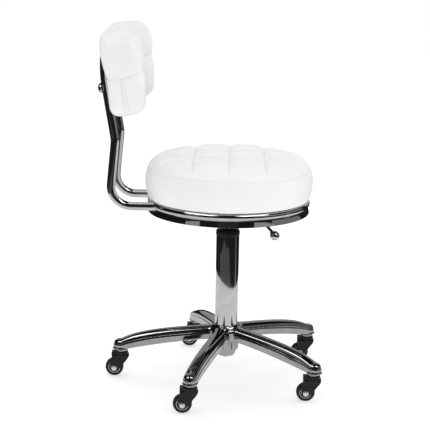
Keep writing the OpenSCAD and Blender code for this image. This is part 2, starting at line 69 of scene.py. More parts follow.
def add_camera():
    data = bpy.data.cameras.new("camera")
    data.lens = 109.84
    data.sensor_width = 36
    camera = bpy.data.objects.new("camera", data)
    camera.matrix_world = look_from((-2.774, 0, 0.9964), (0.97534, 0.01014, -0.22047), 0.0181)
    scene.collection.objects.link(camera)
    scene.camera = camera


def seen_only_in_reflections(obj):
    obj.visible_camera = False
    obj.visible_diffuse = False
    obj.visible_transmission = False
    obj.visible_shadow = False


def glow_material(name, strength):
    """An even white glow."""
    mat = bpy.data.materials.new(name)
    mat.use_nodes = True
    tree = mat.node_tree
    tree.nodes.clear()
    out = tree.nodes.new("ShaderNodeOutputMaterial")
    glow = tree.nodes.new("ShaderNodeEmission")
    tree.links.new(glow.outputs[0], out.inputs["Surface"])
    glow.inputs["Color"].default_value = (1, 1, 1, 1)
    glow.inputs["Strength"].default_value = strength
    return mat


def stage_mesh(name, points, faces, material):
    mesh = bpy.data.meshes.new(name)
    mesh.from_pydata(points, [], faces)
    mesh.materials.append(material)
    obj = bpy.data.objects.new(name, mesh)
    scene.collection.objects.link(obj)
    return obj


def rectangle(centre, half_u, half_v):
    centre, half_u, half_v = Vector(centre), Vector(half_u), Vector(half_v)
    return [tuple(centre + half_u * u + half_v * v) for u, v in ((-1, -1), (1, -1), (1, 1), (-1, 1))]


def add_floor():
    """The pale floor that the camera sees. It glows a little, so that shadows on it stay soft."""
    mat = new_material("studio_floor", (0.6, 0.6, 0.6), roughness=0.8)
    set_shader(mat, Emission_Color=(1, 1, 1, 1), Emission_Strength=0.48)
    floor = stage_mesh("studio_floor", rectangle((0, 0, 0), (9, 0, 0), (0, 9, 0)), [(0, 1, 2, 3)], mat)
    floor.visible_glossy = False


def add_card(name, centre, half_u, half_v, glow):
    """A flat glowing card that only reflections show."""
    corners = rectangle(centre, half_u, half_v)
    card = stage_mesh(name, corners, [(0, 1, 2, 3)], glow_material(name + "_glow", glow))
    seen_only_in_reflections(card)


def add_softbox_card(name, azimuth, elevation, distance, half_w, half_h, glow):
    """A glowing card that faces the stool; azimuth is measured from the camera's side."""
    a, e = math.radians(azimuth), math.radians(elevation)
    away = Vector((-math.cos(a) * math.cos(e), math.sin(a) * math.cos(e), math.sin(e)))
    across = Vector((math.sin(a), math.cos(a), 0))
    up = away.cross(across).normalized()
    add_card(name, away * distance + Vector((0, 0, 0.3)), across * half_w, up * half_h, glow)


def add_reflections():
    """What the chrome mirrors: a round of white paper in a dark room, two softboxes and grey walls."""
    paper_x, paper_y, paper_radius, sides = -0.034, 0.094, 1.0, 64
    turns = [2 * math.pi * k / sides for k in range(sides)]
    rim = [(paper_x + paper_radius * math.cos(a), paper_y + paper_radius * math.sin(a), 0.0) for a in turns]
    paper = stage_mesh("paper_round", rim, [tuple(range(sides))], glow_material("paper_glow", 0.93))
    seen_only_in_reflections(paper)

    room_mesh = bpy.data.meshes.new("dark_room")
    shell = bmesh.new()
    bmesh.ops.create_icosphere(shell, subdivisions=4, radius=9)
    shell.to_mesh(room_mesh)
    shell.free()
    room_mesh.materials.append(glow_material("room_dark", 0.012))
    room = bpy.data.objects.new("dark_room", room_mesh)
    scene.collection.objects.link(room)
    seen_only_in_reflections(room)

    add_card("dark_ground", (0, 0, -0.008), (8, 0, 0), (0, 8, 0), 0.02)
    add_card("grey_ground", (-1.4, 0.55, -0.004), (1.1, 0, 0), (0, 1.2, 0), 0.1)
    add_card("ground_streak", (0.02, -1.7, -0.004), (0.13, 0, 0), (0, 0.8, 0), 0.26)
    add_card("backdrop_card", (2.6, 0, 1.45), (0, 2.2, 0), (0, 0, 1.1), 0.5)
    add_card("wall_low", (-3.6, 0, 1.5), (0, 0.9, 0), (0, 0, 1.2), 0.03)
    add_card("wall_front", (0.4, -3.6, 1.3), (2.2, 0, 0), (0, 0, 1.0), 0.25)
    add_softbox_card("wall_left", 50, 20, 3.2, 0.6, 0.62, 0.4)
    add_softbox_card("wall_right", -52, 20, 3.2, 0.9, 0.62, 0.4)
    add_softbox_card("softbox_left", 50, 51, 2.6, 0.86, 0.46, 3.4)
    add_softbox_card("softbox_right", -44, 51, 2.6, 0.82, 0.46, 3.4)


def add_lights():
    world = bpy.data.worlds.new("studio")
    world.use_nodes = True
    world.node_tree.nodes["Background"].inputs["Color"].default_value = (1, 1, 1, 1)
    world.node_tree.nodes["Background"].inputs["Strength"].default_value = 1.0
    scene.world = world
    scene.view_settings.view_transform = "Standard"

    for name, place, energy in (("top_light", (0.9, 0.5, 2.5), 9), ("front_light", (0.3, -2.2, 1.2), 7)):
        data = bpy.data.lights.new(name, "AREA")
        data.shape = "RECTANGLE"
        data.size, data.size_y = 1.6, 1.6
        data.energy = energy
        light = bpy.data.objects.new(name, data)
        place, aim = Vector(place), Vector((0, 0, 0.4))
        turn = (aim - place).to_track_quat("-Z", "Y").to_matrix()
        light.matrix_world = Matrix.Translation(place) @ turn.to_4x4()
        light.visible_camera = False
        light.visible_glossy = False
        scene.collection.objects.link(light)


# ------------------------------------------------------------------ material tools

def new_material(name, base, metallic=0.0, roughness=0.5):
    mat = bpy.data.materials.new(name)
    mat.use_nodes = True
    shader = mat.node_tree.nodes["Principled BSDF"]
    shader.inputs["Base Color"].default_value = (*base, 1)
    shader.inputs["Metallic"].default_value = metallic
    shader.inputs["Roughness"].default_value = roughness
    return mat


def set_shader(mat, **values):
    """Sets fixed values on the shader; an underscore in a name stands for a space."""
    shader = mat.node_tree.nodes["Principled BSDF"]
    for key, value in values.items():
        shader.inputs[key.replace("_", " ")].default_value = value


def own_space(mat, stretch):
    """The piece's own coordinates, in metres, stretched along its axes."""
    coords = mat.node_tree.nodes.new("ShaderNodeTexCoord")
    place = mat.node_tree.nodes.new("ShaderNodeMapping")
    place.inputs["Scale"].default_value = stretch
    mat.node_tree.links.new(coords.outputs["Object"], place.inputs["Vector"])
    return place.outputs["Vector"]


def noise(mat, scale, detail=3.0, stretch=(1, 1, 1)):
    """Solid noise from 0 to 1, with scale features per metre."""
    pattern = mat.node_tree.nodes.new("ShaderNodeTexNoise")
    pattern.inputs["Scale"].default_value = scale
    pattern.inputs["Detail"].default_value = detail
    mat.node_tree.links.new(own_space(mat, stretch), pattern.inputs["Vector"])
    return pattern.outputs["Fac"]


def cells(mat, scale, feature="F1"):
    """Cell pattern for leather pebbles and moulded grain."""
    pattern = mat.node_tree.nodes.new("ShaderNodeTexVoronoi")
    pattern.feature = feature
    pattern.inputs["Scale"].default_value = scale
    mat.node_tree.links.new(own_space(mat, (1, 1, 1)), pattern.inputs["Vector"])
    return pattern.outputs["Distance"]


def remap(mat, value, low, high, from_low=0.3, from_high=0.7):
    span = mat.node_tree.nodes.new("ShaderNodeMapRange")
    for key, number in zip(("From Min", "From Max", "To Min", "To Max"), (from_low, from_high, low, high)):
        span.inputs[key].default_value = number
    mat.node_tree.links.new(value, span.inputs["Value"])
    return span.outputs["Result"]


def vary_colour(mat, factor, first, second):
    mix = mat.node_tree.nodes.new("ShaderNodeMix")
    mix.data_type = "RGBA"
    mix.inputs["A"].default_value = (*first, 1)
    mix.inputs["B"].default_value = (*second, 1)
    mat.node_tree.links.new(factor, mix.inputs["Factor"])
    shader = mat.node_tree.nodes["Principled BSDF"]
    mat.node_tree.links.new(mix.outputs["Result"], shader.inputs["Base Color"])


def vary_roughness(mat, value):
    shader = mat.node_tree.nodes["Principled BSDF"]
    mat.node_tree.links.new(value, shader.inputs["Roughness"])


def add_bump(mat, height, distance):
    """A layer of relief that is distance metres deep; a later layer adds to an earlier one."""
    tree = mat.node_tree
    shader = tree.nodes["Principled BSDF"]
    relief = tree.nodes.new("ShaderNodeBump")
    relief.inputs["Distance"].default_value = distance
    tree.links.new(height, relief.inputs["Height"])
    if shader.inputs["Normal"].links:
        tree.links.new(shader.inputs["Normal"].links[0].from_socket, relief.inputs["Normal"])
    tree.links.new(relief.outputs["Normal"], shader.inputs["Normal"])


# ------------------------------------------------------------------ materials

def make_chrome():
    mat = new_material("polished_chrome", (0.54, 0.54, 0.55), 1, 0.05)
    vary_colour(mat, remap(mat, noise(mat, 40), 0, 1), (0.5, 0.505, 0.51), (0.58, 0.58, 0.585))
    vary_roughness(mat, remap(mat, noise(mat, 900, 5), 0.025, 0.085))
    add_bump(mat, noise(mat, 60, 2), 0.00004)
    return mat


def make_chrome_painted_shade():
    # The base colour is darker than the polished chrome: painted shade, standing in for the shade round the
    # base that the reflected floor lacks. The mottle is random tone.
    mat = new_material("chrome_painted_shade", (0.34, 0.34, 0.345), 1, 0.06)
    vary_colour(mat, remap(mat, noise(mat, 55), 0, 1), (0.3, 0.303, 0.306), (0.38, 0.38, 0.384))
    vary_roughness(mat, remap(mat, noise(mat, 700, 5), 0.03, 0.1))
    add_bump(mat, noise(mat, 90, 2), 0.00008)
    return mat


def make_dark_chrome():
    mat = new_material("black_nickel", (0.16, 0.16, 0.165), 1, 0.12)
    vary_colour(mat, remap(mat, noise(mat, 120), 0, 1), (0.1, 0.1, 0.105), (0.2, 0.2, 0.205))
    vary_roughness(mat, remap(mat, noise(mat, 800, 4), 0.08, 0.2))
    return mat


def make_zinc():
    mat = new_material("zinc_plate", (0.7, 0.7, 0.71), 1, 0.3)
    vary_colour(mat, remap(mat, noise(mat, 260, 4), 0, 1), (0.6, 0.61, 0.63), (0.8, 0.8, 0.79))
    vary_roughness(mat, remap(mat, noise(mat, 500, 4), 0.2, 0.38))
    add_bump(mat, noise(mat, 1500, 3), 0.00004)
    return mat


def make_black_paint(name, roughness, depth):
    mat = new_material(name, (0.02, 0.02, 0.021), 0, roughness)
    vary_colour(mat, remap(mat, noise(mat, 70, 4), 0, 1), (0.016, 0.016, 0.017), (0.032, 0.032, 0.033))
    vary_roughness(mat, remap(mat, noise(mat, 300, 4), roughness - 0.08, roughness + 0.08))
    add_bump(mat, noise(mat, 900, 2), depth)
    return mat


def make_moulded(name, roughness, grain):
    mat = new_material(name, (0.008, 0.008, 0.008), 0, roughness)
    set_shader(mat, Specular_IOR_Level=0.25)
    vary_colour(mat, remap(mat, noise(mat, 180, 5), 0, 1), (0.005, 0.005, 0.0055), (0.012, 0.012, 0.0125))
    vary_roughness(mat, remap(mat, noise(mat, 420, 4), roughness - 0.1, roughness + 0.1))
    add_bump(mat, cells(mat, 1800), grain)
    return mat


def make_tyre():
    mat = new_material("tyre_polyurethane", (0.01, 0.01, 0.01), 0, 0.42)
    set_shader(mat, Specular_IOR_Level=0.25)
    vary_colour(mat, remap(mat, noise(mat, 240, 6), 0, 1), (0.005, 0.005, 0.005), (0.016, 0.016, 0.0155))
    vary_roughness(mat, remap(mat, noise(mat, 350, 5), 0.32, 0.6))
    add_bump(mat, noise(mat, 1200, 4), 0.00008)
    return mat


def make_rubber():
    mat = new_material("stop_rubber", (0.03, 0.03, 0.03), 0, 0.8)
    vary_colour(mat, remap(mat, noise(mat, 300, 4), 0, 1), (0.02, 0.02, 0.02), (0.045, 0.045, 0.045))
    add_bump(mat, noise(mat, 1500, 3), 0.00012)
    return mat


def make_plywood():
    """Plywood under a thin black stain, through which the grain still shows."""
    mat = new_material("stained_plywood", (0.03, 0.026, 0.022), 0, 0.55)
    plies = noise(mat, 1.0, 0, (2, 2, 700))
    grain = remap(mat, noise(mat, 14, 6, (1, 12, 6)), 0, 1)
    vary_colour(mat, grain, (0.04, 0.034, 0.028), (0.016, 0.014, 0.012))
    vary_roughness(mat, remap(mat, plies, 0.45, 0.7))
    add_bump(mat, noise(mat, 60, 5, (1, 14, 8)), 0.00012)
    return mat


def make_leather():
    mat = new_material("white_leather", (0.84, 0.84, 0.84), 0, 0.42)
    vary_colour(mat, remap(mat, noise(mat, 9, 4), 0, 1), (0.83, 0.832, 0.835), (0.87, 0.87, 0.868))
    vary_roughness(mat, remap(mat, noise(mat, 160, 5), 0.34, 0.5))
    add_bump(mat, cells(mat, 720, "SMOOTH_F1"), 0.00016)
    add_bump(mat, noise(mat, 45, 4), 0.0004)
    set_shader(mat, Specular_IOR_Level=0.42)
    return mat


def make_thread():
    mat = new_material("white_thread", (0.8, 0.8, 0.8), 0, 0.65)
    vary_colour(mat, remap(mat, noise(mat, 900, 3), 0, 1), (0.72, 0.72, 0.72), (0.86, 0.86, 0.86))
    add_bump(mat, noise(mat, 3000, 2), 0.0001)
    return mat


# ------------------------------------------------------------------ mesh tools

def new_mesh(name, points, faces):
    """A closed mesh from millimetres, with its faces turned outwards."""
    mesh = bpy.data.meshes.new(name)
    mesh.from_pydata((np.asarray(points, float) * MM).tolist(), [], [list(f) for f in faces])
    work = bmesh.new()
    work.from_mesh(mesh)
    bmesh.ops.recalc_face_normals(work, faces=work.faces)
    work.to_mesh(mesh)
    work.free()
    return mesh


def merged(parts):
    """Several (points, faces) as one."""
    points, faces, base = [], [], 0
    for part_points, part_faces in parts:
        points.extend(part_points)
        faces.extend([tuple(k + base for k in f) for f in part_faces])
        base += len(part_points)
    return points, faces


def show(name, mesh, material, body, replaced=(), at=(0, 0, 0), crease=32):
    """Makes a piece of a mesh, smooth up to the crease angle, and puts it on its body."""
    obj = bpy.data.objects.new(name, mesh)
    scene.collection.objects.link(obj)
    obj.location = Vector(at) * MM
    mesh.materials.clear()
    mesh.materials.append(material)
    mesh.polygons.foreach_set("use_smooth", [True] * len(mesh.polygons))
    mesh.set_sharp_from_angle(angle=math.radians(crease))
    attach(obj, body)
    if replaced:
        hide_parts(*replaced)
    return obj


def bevel(obj, width, segments=2):
    mod = obj.modifiers.new("edges", "BEVEL")
    mod.width = width * MM
    mod.segments = segments
    mod.limit_method = "ANGLE"
    mod.angle_limit = math.radians(35)
    mod.harden_normals = True


def rounded(outline, radius, steps=4, closed=True):
    """The outline with each corner rounded; radius may be one number or one for each corner."""
    count = len(outline)
    radii = [radius] * count if isinstance(radius, (int, float)) else radius
    result = []
    for k, corner in enumerate(outline):
        corner = np.array(corner, float)
        if radii[k] == 0 or (not closed and k in (0, count - 1)):
            result.append(tuple(corner))
            continue
        before = np.array(outline[k - 1], float) - corner
        after = np.array(outline[(k + 1) % count], float) - corner
        reach = min(radii[k], 0.49 * np.linalg.norm(before), 0.49 * np.linalg.norm(after))
        start = corner + before / np.linalg.norm(before) * reach
        end = corner + after / np.linalg.norm(after) * reach
        for s in np.linspace(0, 1, steps + 1):
            result.append(tuple((1 - s) ** 2 * start + 2 * s * (1 - s) * corner + s * s * end))
    return result


def lathe(outline, segments=96):
    """Turns an (r, z) outline round Z. It is a closed loop, or it starts and ends on the axis."""
    solid = abs(outline[0][0]) < 1e-6 and abs(outline[-1][0]) < 1e-6
    rings = outline[1:-1] if solid else outline
    turns = [2 * math.pi * s / segments for s in range(segments)]
    points = [(r * math.cos(a), r * math.sin(a), z) for r, z in rings for a in turns]
    pairs = range(len(rings) - 1 if solid else len(rings))
    faces = []
    for k in pairs:
        nxt = (k + 1) % len(rings)
        for s in range(segments):
            t = (s + 1) % segments
            faces.append((k * segments + s, k * segments + t, nxt * segments + t, nxt * segments + s))
    if solid:
        first, last = len(points), len(points) + 1
        points += [(0, 0, outline[0][1]), (0, 0, outline[-1][1])]
        end = (len(rings) - 1) * segments
        for s in range(segments):
            t = (s + 1) % segments
            faces += [(first, t, s), (last, end + s, end + t)]
    return points, faces


def along_x(part, centre=(0, 0, 0)):
    """A lathed part laid along X, about the centre."""
    points, faces = part
    return [(z + centre[0], x + centre[1], y + centre[2]) for x, y, z in points], faces


def moved(part, matrix):
    points, faces = part
    return [tuple(matrix @ Vector(p)) for p in points], faces


def sweep(path, radius, sides=40):
    """A closed round rod along a path of points."""
    path = [Vector(p) for p in path]
    points, side = [], None
    for k, p in enumerate(path):
        heading = (path[min(k + 1, len(path) - 1)] - path[max(k - 1, 0)]).normalized()
        if side is None:
            side = heading.orthogonal().normalized()
        side = (side - heading * side.dot(heading)).normalized()
        other = heading.cross(side)
        for s in range(sides):
            a = 2 * math.pi * s / sides
            points.append(tuple(p + side * radius * math.cos(a) + other * radius * math.sin(a)))
    faces = []
    for k in range(0, (len(path) - 1) * sides, sides):
        for s in range(sides):
            t = (s + 1) % sides
            faces.append((k + s, k + t, k + sides + t, k + sides + s))
    last = (len(path) - 1) * sides
    faces += [tuple(range(sides)), tuple(range(last + sides - 1, last - 1, -1))]
    return points, faces


def surface_net(field, low, high, cell):
    """The closed surface where field(x, y, z) is zero, found on a grid and then pulled exactly onto it."""
    axes = [np.arange(low[k], high[k] + cell, cell) for k in range(3)]
    value = field(*np.meshgrid(*axes, indexing="ij"))
    inside = value < 0
    corners = [(i, j, k) for i in (0, 1) for j in (0, 1) for k in (0, 1)]

    def shifted(array, corner):
        i, j, k = corner
        n = array.shape
        return array[i:n[0] - 1 + i, j:n[1] - 1 + j, k:n[2] - 1 + k]

    count = sum(shifted(inside, c).astype(np.int8) for c in corners)
    cell_at = np.argwhere((count > 0) & (count < 8))
    index = np.full(count.shape, -1, np.int64)
    index[tuple(cell_at.T)] = np.arange(len(cell_at))
    total = np.zeros((len(cell_at), 3))
    crossings = np.zeros(len(cell_at))
    for c in corners:
        for axis in range(3):
            if c[axis]:
                continue
            d = tuple(v + (1 if a == axis else 0) for a, v in enumerate(c))
            first = value[tuple((cell_at + c).T)]
            second = value[tuple((cell_at + d).T)]
            crossed = (first < 0) != (second < 0)
            share = np.where(crossed, first / np.where(crossed, first - second, 1), 0)
            spot = np.repeat(np.array(c, float)[None], len(cell_at), 0)
            spot[:, axis] += share
            total[crossed] += spot[crossed]
            crossings += crossed
    points = (cell_at + total / crossings[:, None]) * cell + np.array(low, float)

    faces = []
    for axis in range(3):
        b, c = (axis + 1) % 3, (axis + 2) % 3
        step = np.eye(3, dtype=int)
        low_side = np.take(inside, range(inside.shape[axis] - 1), axis)
        high_side = np.take(inside, range(1, inside.shape[axis]), axis)
        edges = np.argwhere(low_side != high_side)
        quad = [index[tuple((edges - o).T)] for o in (step[b] + step[c], step[c], 0 * step[b], step[b])]
        quad = np.stack(quad, 1)
        flip = ~inside[tuple(edges.T)]
        quad[flip] = quad[flip][:, ::-1]
        faces.append(quad)

    for _ in range(4):
        here = field(*points.T)
        slope = np.empty_like(points)
        for axis in range(3):
            reach = np.zeros(3)
            reach[axis] = 0.05
            slope[:, axis] = (field(*(points + reach).T) - field(*(points - reach).T)) / 0.1
        size = np.maximum((slope ** 2).sum(1), 0.2)
        move = slope * (here / size)[:, None]
        points -= np.clip(move, -cell / 2, cell / 2)
    return points, np.concatenate(faces).tolist()


def soft_min(a, b, k):
    """The smaller of two distances, with a fillet of about k where they meet."""
    h = np.clip(0.5 + 0.5 * (b - a) / k, 0, 1)
    return b * (1 - h) + a * h - k * h * (1 - h)


def soft_max(a, b, k):
    return -soft_min(-a, -b, k)


# ------------------------------------------------------------------ star base

STEM_CIRCLE = 231
COLUMN_R = 25
ROUND = 2.3


def leg_top(x):
    return 124.8 - 0.093 * x - 14 * (x / 240) ** 4 - 9 * (x / 240) ** 9


def leg_under(x):
    return np.maximum(62.5, 94.5 - 28 * (np.maximum(x, 0) / 212) ** 1.6)


def leg_field(x, y, z):
    """One hollow cast leg along +X: an arched crown, a crease, a plain wall, and a round nose with a lip."""
    near = np.clip(x, 0, STEM_CIRCLE)
    past = np.maximum(x - STEM_CIRCLE, 0)
    across = np.hypot(y, 0.84 * past)
    top, under = leg_top(near), leg_under(near)
    half = 16.3 - 2.3 * near / STEM_CIRCLE
    crown = 0.48 * (top - under)
    crease = top - crown
    bend = ((across / half) ** ROUND + (np.maximum(z - crease, 0) / crown) ** ROUND) ** (1 / ROUND)
    arch = (bend - 1) * np.minimum(half, crown)
    lip = 1.6 * np.clip((x - 216) / 12, 0, 1) * np.clip((67 - z) / 3, 0, 1)
    wall = soft_max(across - half - 1.0 - lip, z - crease + 0.6, 1.2)
    outer = soft_max(soft_min(arch, wall, 0.9), under - z, 1.6)
    hollow_bend = np.hypot(across / (half - 3), np.maximum(z - crease + 1, 0) / np.maximum(crown - 3, 2))
    hollow = np.maximum((hollow_bend - 1) * 8, 36 - x)
    hollow = np.maximum(hollow, x - (STEM_CIRCLE - 18))
    return np.maximum(soft_max(outer, -hollow, 1.0), -x)


def star_field(x, y, z):
    """Five legs that flow into a hub with a raised rim round the column."""
    turn = np.arctan2(y, x) - math.pi / 2
    step = 2 * math.pi / 5
    folded = np.abs(turn - step * np.round(turn / step))
    reach = np.hypot(x, y)
    own = leg_field(reach * np.cos(folded), reach * np.sin(folded), z)
    other = leg_field(reach * np.cos(step - folded), reach * np.sin(step - folded), z)
    legs = soft_min(own, other, 9)
    plate = soft_max(soft_max(reach - 36, z - 119.5, 9), 97 - z, 2)
    hub = soft_max(soft_max(reach - 28, z - 119, 3), 69 - z, 2)
    rim = soft_max(reach - 27.4, z - 125.5, 1.5)
    rim = np.maximum(rim, 100 - z)
    body = soft_min(soft_min(soft_min(legs, plate, 5), hub, 4), rim, 7)
    return soft_max(body, COLUMN_R - 0.3 - reach, 0.5)


def add_star(chrome):
    cell = 1.5
    points, faces = surface_net(star_field, (-254, -254, 58), (254, 254, 130), cell)
    star = new_mesh("star_casting", points, faces)
    show("star_casting", star, chrome, "base", ["star_base"], crease=60)


# ------------------------------------------------------------------ gas lift

def add_column(chrome, cast, plastic, paint):
    tube = rounded([(25, 122), (25, 327), (22.6, 327), (22.6, 94), (24.2, 94)], [1, 0.8, 0.4, 0.2, 0.2])
    show("column_skin", new_mesh("column_skin", *lathe(tube, 128)), chrome, "base",
         ["column_tube"])
    foot = rounded([(24.2, 93.9), (22.6, 93.9), (22.6, 66), (5.2, 66), (5.2, 54.5), (19.4, 54.5), (23.4, 64)],
                   [0.2, 0.2, 1, 0.5, 0.8, 2.5, 4])
    # The foot takes the darker chrome, whose dark base colour is painted shade under the hub.
    show("column_foot", new_mesh("column_foot", *lathe(foot, 128)), cast, "base")
    bush = rounded([(22.5, 255), (22.5, 327), (25.8, 327), (25.8, 336.4), (21.4, 341),
                    (14.1, 341), (14.1, 255)], [0.5, 0, 0.8, 1.8, 1.8, 0.8, 0.5])
    show("column_collar", new_mesh("column_collar", *lathe(bush, 128)), plastic, "base",
         ["guide_bush"])
    barrel = rounded([(0, 78), (14, 78), (14, 347), (13, 388), (4.1, 388), (4.1, 340), (0, 340)],
                     [0, 1, 3, 1.2, 0.3, 0.3, 0], closed=False)
    show("lift_barrel", new_mesh("lift_barrel", *lathe(barrel, 96)), paint, "seat",
         ["pressure_cylinder"])


# ------------------------------------------------------------------ release lever

LEVER_TURN = math.radians(-140)
PIVOT = (24, 396)
BALL = (152, 354)
LEVER_SLOPE = math.radians(27)


def add_lever(rod_chrome, ball_chrome):
    heading = Matrix.Rotation(LEVER_TURN, 4, "Z")
    bend_x = BALL[0] - (PIVOT[1] - BALL[1]) / math.tan(LEVER_SLOPE)
    bend = [(bend_x + 9 * t - 4 * (1 - t) ** 2, 0, PIVOT[1] - 4.5 * t * t * math.tan(LEVER_SLOPE))
            for t in np.linspace(0, 1, 7)]
    slope_start = Vector(bend[-1])
    toward = Vector((math.cos(LEVER_SLOPE), 0, -math.sin(LEVER_SLOPE)))
    reach = (Vector((BALL[0], 0, BALL[1])) - slope_start).dot(toward) - 6
    path = [(PIVOT[0], 0, PIVOT[1]), (45, 0, PIVOT[1])] + bend
    path += [tuple(slope_start + toward * reach * s / 6) for s in range(1, 7)]
    hub = moved(lathe(rounded([(3.1, -20), (6, -20), (6, 20), (3.1, 20)], 0.6), 40),
                Matrix.Translation((PIVOT[0], 0, PIVOT[1])) @ Matrix.Rotation(math.pi / 2, 4, "X"))
    tongue = moved(lathe(rounded([(0, -2.4), (7, -2.4), (7, 2.6), (0, 2.6)], 0.5, closed=False), 40),
                   Matrix.Translation((0, 0, PIVOT[1])))
    arm = sweep([(-2, 0, PIVOT[1]), (PIVOT[0], 0, PIVOT[1])], 3.4, 24)
    rod = moved(merged([sweep(path, 3, 32), hub, tongue, arm]), heading)
    show("lever_rod", new_mesh("lever_rod", *rod), rod_chrome, "lever", ["release_lever"])

    turns = [math.radians(a) for a in range(6, 150, 6)]
    ball = [(0, 10)] + [(10 * math.sin(a), 10 * math.cos(a)) for a in turns]
    ball += [(4.6, -10.4), (4.4, -12), (3.2, -12.4), (0, -12.4)]
    place = heading @ Matrix.Translation((BALL[0], 0, BALL[1]))
    place = place @ Matrix.Rotation(math.pi / 2 + LEVER_SLOPE, 4, "Y")
    show("lever_knob", new_mesh("lever_knob", *moved(lathe(ball, 64), place)), ball_chrome, "lever",
         ["lever_ball"])


# ------------------------------------------------------------------ seat ring and back tubes

def add_ring(chrome):
    turns = np.linspace(0, 2 * math.pi, 40, False)
    bead = [(167.5 + 7.5 * math.cos(a), 402.5 + 7.5 * math.sin(a)) for a in turns]
    corners = [(171.8, 397), (171.4, 393.8), (172.6, 388), (174.0, 381.8)]
    outside = rounded(corners, [0, 3, 3, 0], 5, closed=False)
    inside = [(r - 1.5, z) for r, z in reversed(outside)]
    skirt = outside + [(173.4, 381.4)] + inside
    parts = merged([lathe(bead, 240), lathe(skirt, 240)])
    show("ring_trim", new_mesh("ring_trim", *parts), chrome, "seat", ["seat_ring"])


TUBE_X = 66
TUBE_R = 9
TUBE_RUN = ((235.5, 95.2, 43), (86, -15, 60), (102, 17, 300))


def tube_path():
    """The tube's centre line as (y, z), from its front end under the seat to its top end."""
    y, z, heading = -30.0, 400.0, 0.0
    path = [(y, z)]
    for straight, bend, radius in TUBE_RUN:
        y += straight * math.cos(heading)
        z += straight * math.sin(heading)
        sign = math.copysign(1, bend)
        centre = (y - sign * radius * math.sin(heading), z + sign * radius * math.cos(heading))
        steps = max(4, int(abs(bend) / 2.5))
        start = heading
        for s in range(steps + 1):
            heading = start + math.radians(bend) * s / steps
            y = centre[0] + sign * radius * math.sin(heading)
            z = centre[1] - sign * radius * math.cos(heading)
            path.append((y, z))
    return path


def add_tubes(chrome):
    for name, side in (("left", 1), ("right", -1)):
        path = [(side * TUBE_X, y, z) for y, z in tube_path()]
        mesh = new_mesh("chrome_tube_" + name, *sweep(path, TUBE_R, 48))
        show("chrome_tube_" + name, mesh, chrome, "seat", ["back_tube_" + name])


def add_back_bolts(chrome):
    lean = Matrix.Rotation(math.radians(-90 - 9.4), 4, "X")
    turns = [math.radians(a) for a in range(0, 90, 10)]
    dome = [(10.6 * math.cos(a), TUBE_R + 1.2 + 6.4 * math.sin(a)) for a in turns]
    shank = [(0, -24), (4, -24), (4, TUBE_R - 0.4), (10.2, TUBE_R - 0.4), (10.6, TUBE_R)]
    outline = shank + dome + [(0, TUBE_R + 7.6)]
    parts = [moved(lathe(outline, 56), Matrix.Translation((x, 258.9, 651)) @ lean) for x in (-TUBE_X, TUBE_X)]
    show("dome_bolts", new_mesh("dome_bolts", *merged(parts)), chrome, "seat", ["back_bolts"])


# ------------------------------------------------------------------ cushions

def solid_from(name, part):
    obj = bpy.data.objects.new(name, new_mesh(name, *part))
    scene.collection.objects.link(obj)
    return obj


def baked(obj):
    """Applies the modifiers of an object to its mesh."""
    depsgraph = bpy.context.evaluated_depsgraph_get()
    mesh = bpy.data.meshes.new_from_object(obj.evaluated_get(depsgraph))
    obj.modifiers.clear()
    old = obj.data
    obj.data = mesh
    bpy.data.meshes.remove(old)


def remeshed(obj, voxel):
    mod = obj.modifiers.new("remesh", "REMESH")
    mod.mode = "VOXEL"
    mod.voxel_size = voxel * MM
    baked(obj)


def subdivided(obj, levels):
    mod = obj.modifiers.new("subdivide", "SUBSURF")
    mod.levels = levels
    mod.render_levels = levels
    baked(obj)


def get_points(obj):
    """The mesh's points in millimetres."""
    flat = np.empty(len(obj.data.vertices) * 3)
    obj.data.vertices.foreach_get("co", flat)
    return flat.reshape(-1, 3) / MM


def set_points(obj, points):
    obj.data.vertices.foreach_set("co", (points * MM).ravel())
    obj.data.update()


def get_normals(obj):
    flat = np.empty(len(obj.data.vertices) * 3)
    obj.data.vertices.foreach_get("normal", flat)
    return flat.reshape(-1, 3)


CLOTH_FRAMES = 20


def inflate(obj, held, pressure, most):
    """Blows the cover up like cloth. held is 1 where it is sewn down, and most caps the movement."""
    group = obj.vertex_groups.new(name="sewn")
    for k in np.flatnonzero(held > 0.01):
        group.add([int(k)], float(held[k]), "REPLACE")
    start = get_points(obj)
    cloth = obj.modifiers.new("cover", "CLOTH")
    cloth.settings.quality = 6
    cloth.settings.mass = 0.3
    cloth.settings.tension_stiffness = 12
    cloth.settings.compression_stiffness = 12
    cloth.settings.shear_stiffness = 5
    cloth.settings.bending_stiffness = 0.6
    cloth.settings.use_pressure = True
    cloth.settings.uniform_pressure_force = pressure
    cloth.settings.vertex_group_mass = "sewn"
    cloth.settings.effector_weights.gravity = 0
    cloth.collision_settings.use_collision = False
    cloth.point_cache.frame_start = 1
    cloth.point_cache.frame_end = CLOTH_FRAMES
    for step in range(1, CLOTH_FRAMES + 1):
        scene.frame_set(step)
    baked(obj)
    scene.frame_set(1)
    moved_by = get_points(obj) - start
    length = np.maximum(np.linalg.norm(moved_by, axis=1), 1e-6)
    capped = most * np.tanh(length / most)
    set_points(obj, start + moved_by * (capped / length)[:, None])
    obj.vertex_groups.clear()


def finish_cushion(obj, material, replaced):
    mesh = obj.data
    mesh.materials.clear()
    mesh.materials.append(material)
    mesh.polygons.foreach_set("use_smooth", [True] * len(mesh.polygons))
    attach(obj, "seat")
    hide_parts(replaced)


